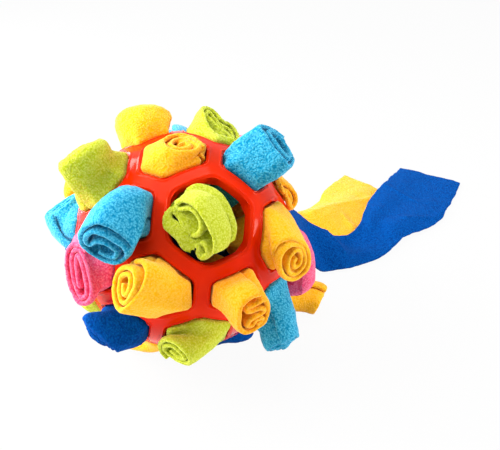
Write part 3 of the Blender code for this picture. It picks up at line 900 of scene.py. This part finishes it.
# Each roll: name, opening, fleece, (reach, lean, clock, face lean, face clock), twist, the line
# it is wound to, and how its cloth lies
ROLLS = (
    ("yellow_roll_top", 15, "yellow", (15.8, 34, 222, 28, 240), 147,
     Spiral(15.6, 15, turns=4, flap=0),
     Look(lift=0, wave=0.2, swell=0.08, ragged=0.2, curl=2.5, pushed=2)),
    ("yellow_roll_upper_front", 6, "golden", (7.9, 60, 42, 16, 23), 14,
     DRAWN, Look(wave=0.2, swell=0, lift=0, open_out=5, ease=0.7, ragged=0.3)),
    ("lime_roll_top", 7, "lime", (7.3, 10, 316, 28, 287), -137,
     DRAWN, Look(wave=0.4, ragged=1.2, lift=1.5, askew=(5, 24), curl=0)),
    ("lime_roll_upper_left", 12, "lime", (21.2, 22, 21, 28, 306), 97,
     Spiral(15.2, 14.4, turns=3.6, flap=215, core=1.6),
     Look(open_out=14, ease=1.1, curl=2, swell=0.02, pushed=1.5)),
    ("cyan_roll_upper_right", 1, "cyan", (21.3, 15, 144, 12, 129), -79,
     DRAWN, Look(wave=0.3, pushed=4, lift=0, curl=0)),
    ("cyan_roll_left", 3, "cyan", (24.4, 55, 180, 60, 168), -3,
     DRAWN, Look(wave=0.2, ragged=0.3, lift=0, swell=0.03, open_out=17, ease=1.2,
                 askew=(2.5, 60))),
    ("cyan_roll_far_left", 18, "cyan", (16.5, 53, 306, 51, 349), 105,
     Spiral(13, 12, turns=3.2, flap=250),
     Look(lift=0.6, swell=0.04, open_out=12, pushed=-2, wave=1.2)),
    ("pink_roll_left", 11, "pink", (13.4, 32, 106, 18, 54), 18,
     DRAWN, Look(wave=0.1, lift=0, ragged=0.2, curl=0.2, ease=1.2, open_out=13)),
    ("pink_roll_right", 13, "pink", (25, 73, 203, 62, 194), 72,
     Spiral(12.8, 10.6, turns=4), Look(tip=0.8, lift=0, curl=3, pushed=2)),
    ("yellow_roll_lower_left", 5, "yellow", (19.9, 44, 297, 39, 295), 11,
     DRAWN, Look(wave=0.2, lift=0.2, askew=(4, 40), ragged=0.3, open_out=19, ease=1.2)),
    ("yellow_roll_right", 4, "yellow", (18.2, 52, 222, 29, 244), -8,
     DRAWN, Look(wave=0.2, lift=0, askew=(8, 40), ragged=0.3, open_out=13, ease=1.1)),
    ("golden_roll_lower_right", 2, "golden", (19.5, 6, 188, 3, 131), 0,
     DRAWN, Look(wave=0.2, lift=0, ragged=0.5, swell=0.1, open_out=17, ease=1.3, curl=0.3,
                 dents=((120, 4, 1.6, 0.8, 1.6),))),
    ("golden_roll_right", 8, "golden", (16.2, 93, 269, 70, 286), -49,
     DRAWN, Look(wave=0.2, lift=0, neck=(0.8, 1.25))),
    ("lime_roll_bottom", 10, "lime", (16.6, 60, 289, 47, 282), 9,
     DRAWN, Look(wave=0.2, lift=0, ragged=0.3, open_out=8, ease=0.7, swell=0)),
    ("cyan_roll_lower_right", 9, "cyan", (22, 30, 220, 22, 223), 43,
     Spiral(12.8, 11.4, turns=3.6), Look(tip=0.85, lift=0.4, pushed=3, wave=1.2, ragged=1)),
    ("blue_roll_lower_left", 14, "blue", (14.9, 32, 296, 20, 237), 147,
     Spiral(15, 12, turns=3.6, flap=40),
     Look(lift=1.2, ragged=0.5, pushed=4.5, ease=1.1, dents=((60, 5, 2, 0.25, 9),))),
    ("lime_roll_low_left", 23, "lime", (4, 38, 170, 25, 175), 0, Spiral(13, 11.6), PLAIN),
    ("yellow_roll_behind_left", 24, "yellow", (22, 51, 150, 29, 180), 133,
     Spiral(12.3, 10.4), PLAIN),
    ("pink_roll_behind_top", 16, "pink", (14, 10, 90, 16, 90), 30, Spiral(12.3, 11.6), PLAIN),
    ("cyan_roll_behind_top", 19, "cyan", (12, 40, 180, 55, 180), 0, Spiral(14.5, 11.6), PLAIN),
    ("lime_roll_back", 25, "lime", (22, 12, 60, 20, 60), 45, Spiral(14.5, 12.3), PLAIN),
    ("blue_roll_behind_left", 27, "blue", (21, 12, 30, 20, 30), 20, Spiral(14.5, 11.6), PLAIN),
    ("golden_roll_back", 30, "golden", (19.5, 8, 200, 14, 200), 60, Spiral(12.3, 11.6), PLAIN),
    ("blue_roll_under_front", 17, "blue", (12.9, 83, 113, 53, 143), 73,
     Spiral(13.5, 6.5), Look(fine=False, floor=True, swell=0, open_out=5, ease=0.6)),
    ("yellow_roll_under_right", 21, "yellow", (41.7, 23, 7, 36, 308), 16, Spiral(12, 9.9), FLOORED),
    ("yellow_roll_under_left", 22, "yellow", (24.4, 75, 265, 60, 284), 43,
     Spiral(11, 5.5), Look(fine=False, floor=True, swell=0, open_out=6, ease=0.7)),
    ("pink_roll_low_back", 28, "pink", (24, 0, 0, 0, 0), 0, Spiral(12.3, 11.6), FLOORED),
    ("lime_roll_low_behind", 29, "lime", (13, 0, 0, 0, 0), 0, Spiral(12.3, 11.6), FLOORED),
    ("cyan_roll_low_back", 31, "cyan", (27, 0, 0, 0, 0), 10, Spiral(13, 11.6), FLOORED),
)

# The roll under the ball: its opening, and where it ends from the ball's foot
UNDER_OPENING = 26
UNDER_ASIDE = 0.0096
UNDER_HEIGHT = 0.0005


def make_rolls(openings):
    for number, (name, opening, colour, place, twist, shape, look) in enumerate(ROLLS):
        if shape is DRAWN:
            section = drawn_section(DRAWN[name])
        else:
            section = spiral_section(shape, hand=1 if number % 2 else -1)
        roll(name, openings[opening], colour, place, twist, section, look, number + 1)


def make_roll_under(openings):
    """The roll straight under the ball, which ends flat on the floor."""
    opening = openings[UNDER_OPENING]
    level = Vector((opening[0].x, opening[0].y, 0)).normalized() * UNDER_ASIDE
    roll(
        "cyan_roll_under", opening, "cyan", (0, 0, 0, 0, 0), 0,
        spiral_section(Spiral(14.5, 14.5), hand=1), FLOORED, 77,
        end=level - Vector((0, 0, CENTRE.z - UNDER_HEIGHT)),
    )


# The loose bunch in the front opening, seen end on: loops of one strip, given in the same way
BUNCH_LINE = (
    13.8, -9.8, 14.1, -4.1, 12.5, 0.9, 9.6, 5.8, 5.8, 10.1, 1, 12.4, -3.9, 12.7, -7.5, 10.4,
    -5.8, 8.2, -0.8, 9.5, 3.2, 8, 5.6, 4.5, 5.8, 0.2, 2.8, -3.2, -1.3, -2.9, -4.7, -0.2,
    -6.6, 3.5, -8.9, 5.8, -11.9, 4.2, -14.6, 0, -14.1, -3.6, -10.9, -5.5, -7.1, -7.8, -4.6, -10.9,
    -1.9, -11.9, 0.2, -9.3, 2.9, -7.9, 4.9, -9.2, 3.7, -12.1, 6.2, -13.6, 9.5, -11, 9, -7.3,
    6.5, -5.5,
)
BUNCH_MOUTH = 0.050


def make_bunch(openings):
    look = Look(neck=(0.55, 0.95), wave=0.1, ragged=0.5, lift=0, swell=0.08, curl=0)
    roll(
        "lime_bunch", openings[0], "lime", (13.5, 79, 260, 58, 253), -20,
        drawn_section(BUNCH_LINE), look, 5, offset=(-3, 3), mouth_at=BUNCH_MOUTH,
    )


def make_knot():
    """The knotted cloth in the middle of the ball."""
    bm = bmesh.new()
    bmesh.ops.create_icosphere(bm, subdivisions=5, radius=ROLL_DEPTH_RADIUS - KNOT_GAP)
    for vert in bm.verts:
        vert.co += CENTRE
    mesh = bpy.data.meshes.new("tail_knot_cloth")
    bm.to_mesh(mesh)
    bm.free()
    points = np.array([v.co for v in mesh.vertices])
    out = points - np.array(CENTRE)
    out /= np.linalg.norm(out, axis=1, keepdims=True)
    ridges = np.abs(noise(points, 0.012, 91)) * 0.004 + 0.001 * noise(points, 0.004, 92)
    points = points - out * ridges[:, None]
    mesh.vertices.foreach_set("co", points.astype(np.float32).ravel())
    mesh.shade_smooth()
    mesh.materials.append(FLEECE["blue"])
    dress(add_object("tail_knot_cloth", mesh), "tail_knot", "ball")


# The long strips, from the knot outward: rows of five points across each strip, as x, y and
# height above the floor in millimetres
BLUE_TAIL = (
    ((25.4, 17, 66.3), (25, 16.7, 63.4), (24.7, 16.4, 60.5),
     (24.3, 16.2, 57.5), (23.9, 15.9, 54.6)),
    ((52.5, 35, 63.6), (51.8, 34.5, 59), (51.1, 34, 54.3), (50.5, 33.4, 49.6), (49.8, 32.9, 45)),
    ((59.9, 59.9, 49.8), (61.9, 56.5, 44), (63.9, 53, 38), (65.8, 49.5, 31), (67.8, 46.1, 23.9)),
    ((70, 90, 25), (72.5, 82, 23.5), (76, 73.5, 17.5), (80, 65, 10), (84.5, 56.2, 2.1)),
    ((90, 99, 2.6), (88.5, 88.5, 12.5), (92, 79.5, 12), (97, 70.5, 7), (101, 61, 0.6)),
    ((104, 99, 2.6), (102.5, 91, 0.4), (104.5, 83, 0.8), (108, 75, 2.6), (114, 67, 0.6)),
    ((114.5, 110, 3.4), (115, 99.5, 0.8), (118, 90.5, 0.2), (122, 82, 1.4), (127, 75, 1.4)),
    ((121, 127, 4.2), (123, 114.5, 4.5), (126, 103, 2), (131, 93.5, 1.4), (137.5, 85.5, 2.4)),
    ((127.5, 146, 3.2), (131.5, 131.5, 5), (136, 119.5, 3.4),
     (141.5, 108.5, 5.6), (148, 98.4, 2.4)),
    ((141, 172, 3), (148, 158, 3.6), (155, 144, 2.2), (163, 130, 3.2), (171.5, 116.5, 0.8)),
    ((151.5, 189.5, 1.4), (160.5, 177.5, 2.4), (169.5, 165.5, 0.8),
     (178.5, 153.5, 1.2), (188, 141.6, 0.4)),
    ((161.8, 205.8, 0), (173, 200, 0.8), (184, 194, 0), (195, 187.8, 0.4), (206.6, 181.3, 0)),
)
YELLOW_TAIL = (
    ((21.7, 21.7, 66.3), (21.3, 21.3, 63.4), (20.9, 20.9, 60.5),
     (20.5, 20.5, 57.5), (20.1, 20.1, 54.6)),
    ((44, 45.1, 63.6), (43.3, 44.4, 59), (42.7, 43.7, 54.3), (42, 43.1, 49.6), (41.3, 42.4, 45)),
    ((46.1, 66.3, 44), (48.1, 64, 39), (50.1, 61.7, 34), (52.1, 59.5, 29), (54.1, 57.2, 23.9)),
    ((51.9, 92.2, 18), (55.6, 89, 16.5), (59.3, 85.8, 14), (63, 82.7, 11), (66.8, 79.5, 8)),
    ((64.1, 121.9, 3.2), (68.6, 117.5, 8.5), (73.5, 111.5, 8.5), (79, 103, 4.6), (86, 92.5, 0)),
    ((75.3, 134.1, 0), (82, 128, 6.5), (89.5, 121, 8), (98, 110.5, 3.6), (107.5, 97.5, 0)),
    ((88, 147.3, 0), (96, 142, 3.4), (104.5, 137, 5), (114, 129, 1.6), (124, 121.5, 0)),
    ((95.9, 168.5, 0), (106, 162.5, 1.6), (116.5, 155.5, 3), (127.5, 148, 1), (137, 141, 0)),
    ((114.4, 194.2, 0), (122.5, 185.5, 0.6), (131, 177, 1), (139.5, 168, 0.4), (148.4, 158.5, 0)),
)
# Pressed creases: two ends in plan, then height and width
BLUE_CREASES = (
    ((143.2, 169.6), (164.3, 146.1), 1.2, 1.3),
    ((150.0, 117.5), (172.6, 122.7), 1.8, 1.6),
    ((172.6, 122.7), (186.0, 138.0), 1.8, 1.6),
    ((88.5, 88.0), (101.0, 70.0), 1.6, 1.0),
)
YELLOW_CREASES = (
    ((81.0, 119.1), (99.6, 134.5), 1.4, 1.6),
    ((99.6, 134.5), (130.3, 153.2), 1.5, 1.6),
    ((105.0, 124.0), (111.0, 110.0), 1.4, 1.4),
)


def crease_height(points, creases):
    """How much pressed creases lift each point, from straight lines in plan."""
    total = np.zeros(len(points))
    for start, end, height, width in creases:
        start, line = np.array(start) * MM, (np.array(end) - start) * MM
        share = np.clip((points[:, :2] - start) @ line / (line @ line), 0, 1)
        away = np.linalg.norm(points[:, :2] - start - share[:, None] * line, axis=1)
        total = np.maximum(total, height * MM * np.exp(-away / (width * MM)))
    return total


def make_tail(name, node, colour, rows, creases, seed):
    """A long strip on the floor, cut by hand: its sides and far end are a little uneven."""
    net = np.array(rows) * MM
    fine = np.linspace(0, len(net) - 1, TAIL_FINE_ROWS)
    run = lengths(cubic(net[:, 2], fine))
    laid = net[3:]
    width = float(np.median(np.linalg.norm(np.diff(laid, axis=1), axis=2).sum(axis=1)))
    u = with_edges(steps_between(0, run[-1], TAIL_STEP))
    v = with_edges(steps_between(0, width, TAIL_STEP))
    cut = TAIL_END_CUT * line_noise(v, TAIL_END_WAVE, seed)
    far = (u / run[-1]) ** 12
    along = np.interp(u[:, None] + far[:, None] * cut[None], run, fine)
    side = line_noise(u, SIDE_WAVE, seed + 5) + 0.5 * line_noise(u, SIDE_RIPPLE, seed + 6)
    lines = np.empty((len(u), len(v), 3))
    for k, at in enumerate(4 * v / width):
        rim = abs(at - 2) / 2
        lines[:, k] = net_points(net, along[:, k], at + SIDE_SHIFT * rim ** 4 * side)
    flat = lines.reshape(-1, 3)
    lift = crease_height(flat, creases) + LAID_LIFT * np.abs(noise(flat, LAID_WAVE, seed))
    lines[..., 2] += lift.reshape(lines.shape[:2]) + HALF_FLEECE + FLOOR_GAP
    made = sheet_mesh(
        name, lines, HALF_FLEECE * sheet_profile(u, v), FLEECE[colour], seed, floor=True,
        nap=LAID_NAP_HEIGHT, lumps=LAID_LUMP_HEIGHT,
    )
    dress(made, node, "ball", flat_size(lines))


# The studio


def area_light(name, place, aim, size, power):
    data = bpy.data.lights.new(name, "AREA")
    data.shape = "RECTANGLE"
    data.size, data.size_y = size
    data.energy = power
    light = add_object(name, data)
    light.location = place
    light.rotation_euler = (Vector(aim) - Vector(place)).to_track_quat("-Z", "Y").to_euler()


def backdrop_rays(tree):
    """1 for rays that see the background as it is: straight, mirrored or through glass."""
    rays = add_node(tree, "LightPath", {})
    seen = rays["Is Camera Ray"]
    for kind in ("Is Glossy Ray", "Is Transmission Ray"):
        seen = add_node(tree, "Math", {0: seen, 1: rays[kind]}, operation="MAXIMUM")[0]
    return seen


def make_camera():
    camera = add_object("camera", bpy.data.cameras.new("camera"))
    camera.data.lens = CAMERA_LENS
    camera.data.sensor_width = CAMERA_SENSOR
    camera.data.clip_start = 0.01
    camera.location = CAMERA_PLACE
    camera.rotation_euler = (CAMERA_TILT, 0, 0)
    bpy.context.scene.camera = camera


def make_floor():
    """A pale floor, white where the background shows, that keeps a faint shadow."""
    finish, tree, shader = node_material("white_floor")
    set_inputs(tree, shader, {"Base Color": (0.92, 0.92, 0.925, 1), "Roughness": 0.8})
    glow = add_node(tree, "Emission", {"Color": (1, 1, 1, 1), "Strength": 0.98})[0]
    seen = add_node(tree, "Math", {0: backdrop_rays(tree), 1: 0.97}, operation="MULTIPLY")[0]
    blend = add_node(tree, "MixShader", {0: seen, 1: shader.outputs[0], 2: glow})[0]
    set_inputs(tree, tree.nodes["Material Output"], {"Surface": blend})
    far = FLOOR_SIDE / 2
    points = np.array([(-far, -far, 0), (far, -far, 0), (far, far, 0), (-far, far, 0)])
    mesh_object("floor", points, np.array([[0, 1, 2, 3]]), finish)


def make_world():
    """White where it is seen, and dimmer as light on the object."""
    world = bpy.data.worlds.new("white_room")
    bpy.context.scene.world = world
    world.use_nodes = True
    tree = world.node_tree
    bright = {"Value": backdrop_rays(tree), "To Min": 0.24, "To Max": 1.0}
    strength = add_node(tree, "MapRange", bright)["Result"]
    sky = tree.nodes["Background"]
    set_inputs(tree, sky, {"Color": (1, 1, 1, 1), "Strength": strength})


def make_studio():
    bpy.context.scene.view_settings.view_transform = "Standard"
    make_camera()
    make_floor()
    make_world()
    for lamp in LAMPS:
        area_light(*lamp)


make_studio()
directions, lattice_quads = fine_lattice()
rims = open_edges(lattice_quads)
ball = lattice_piece(directions, lattice_quads, rims)
dress(ball, "lattice_ball", "ball")
openings = find_openings(directions, rims)
make_rolls(openings)
make_roll_under(openings)
make_bunch(openings)
make_knot()
make_tail("blue_tail_cloth", "blue_tail_strip", "blue", BLUE_TAIL, BLUE_CREASES, 61)
make_tail("yellow_tail_cloth", "yellow_tail_strip", "golden", YELLOW_TAIL, YELLOW_CREASES, 62)
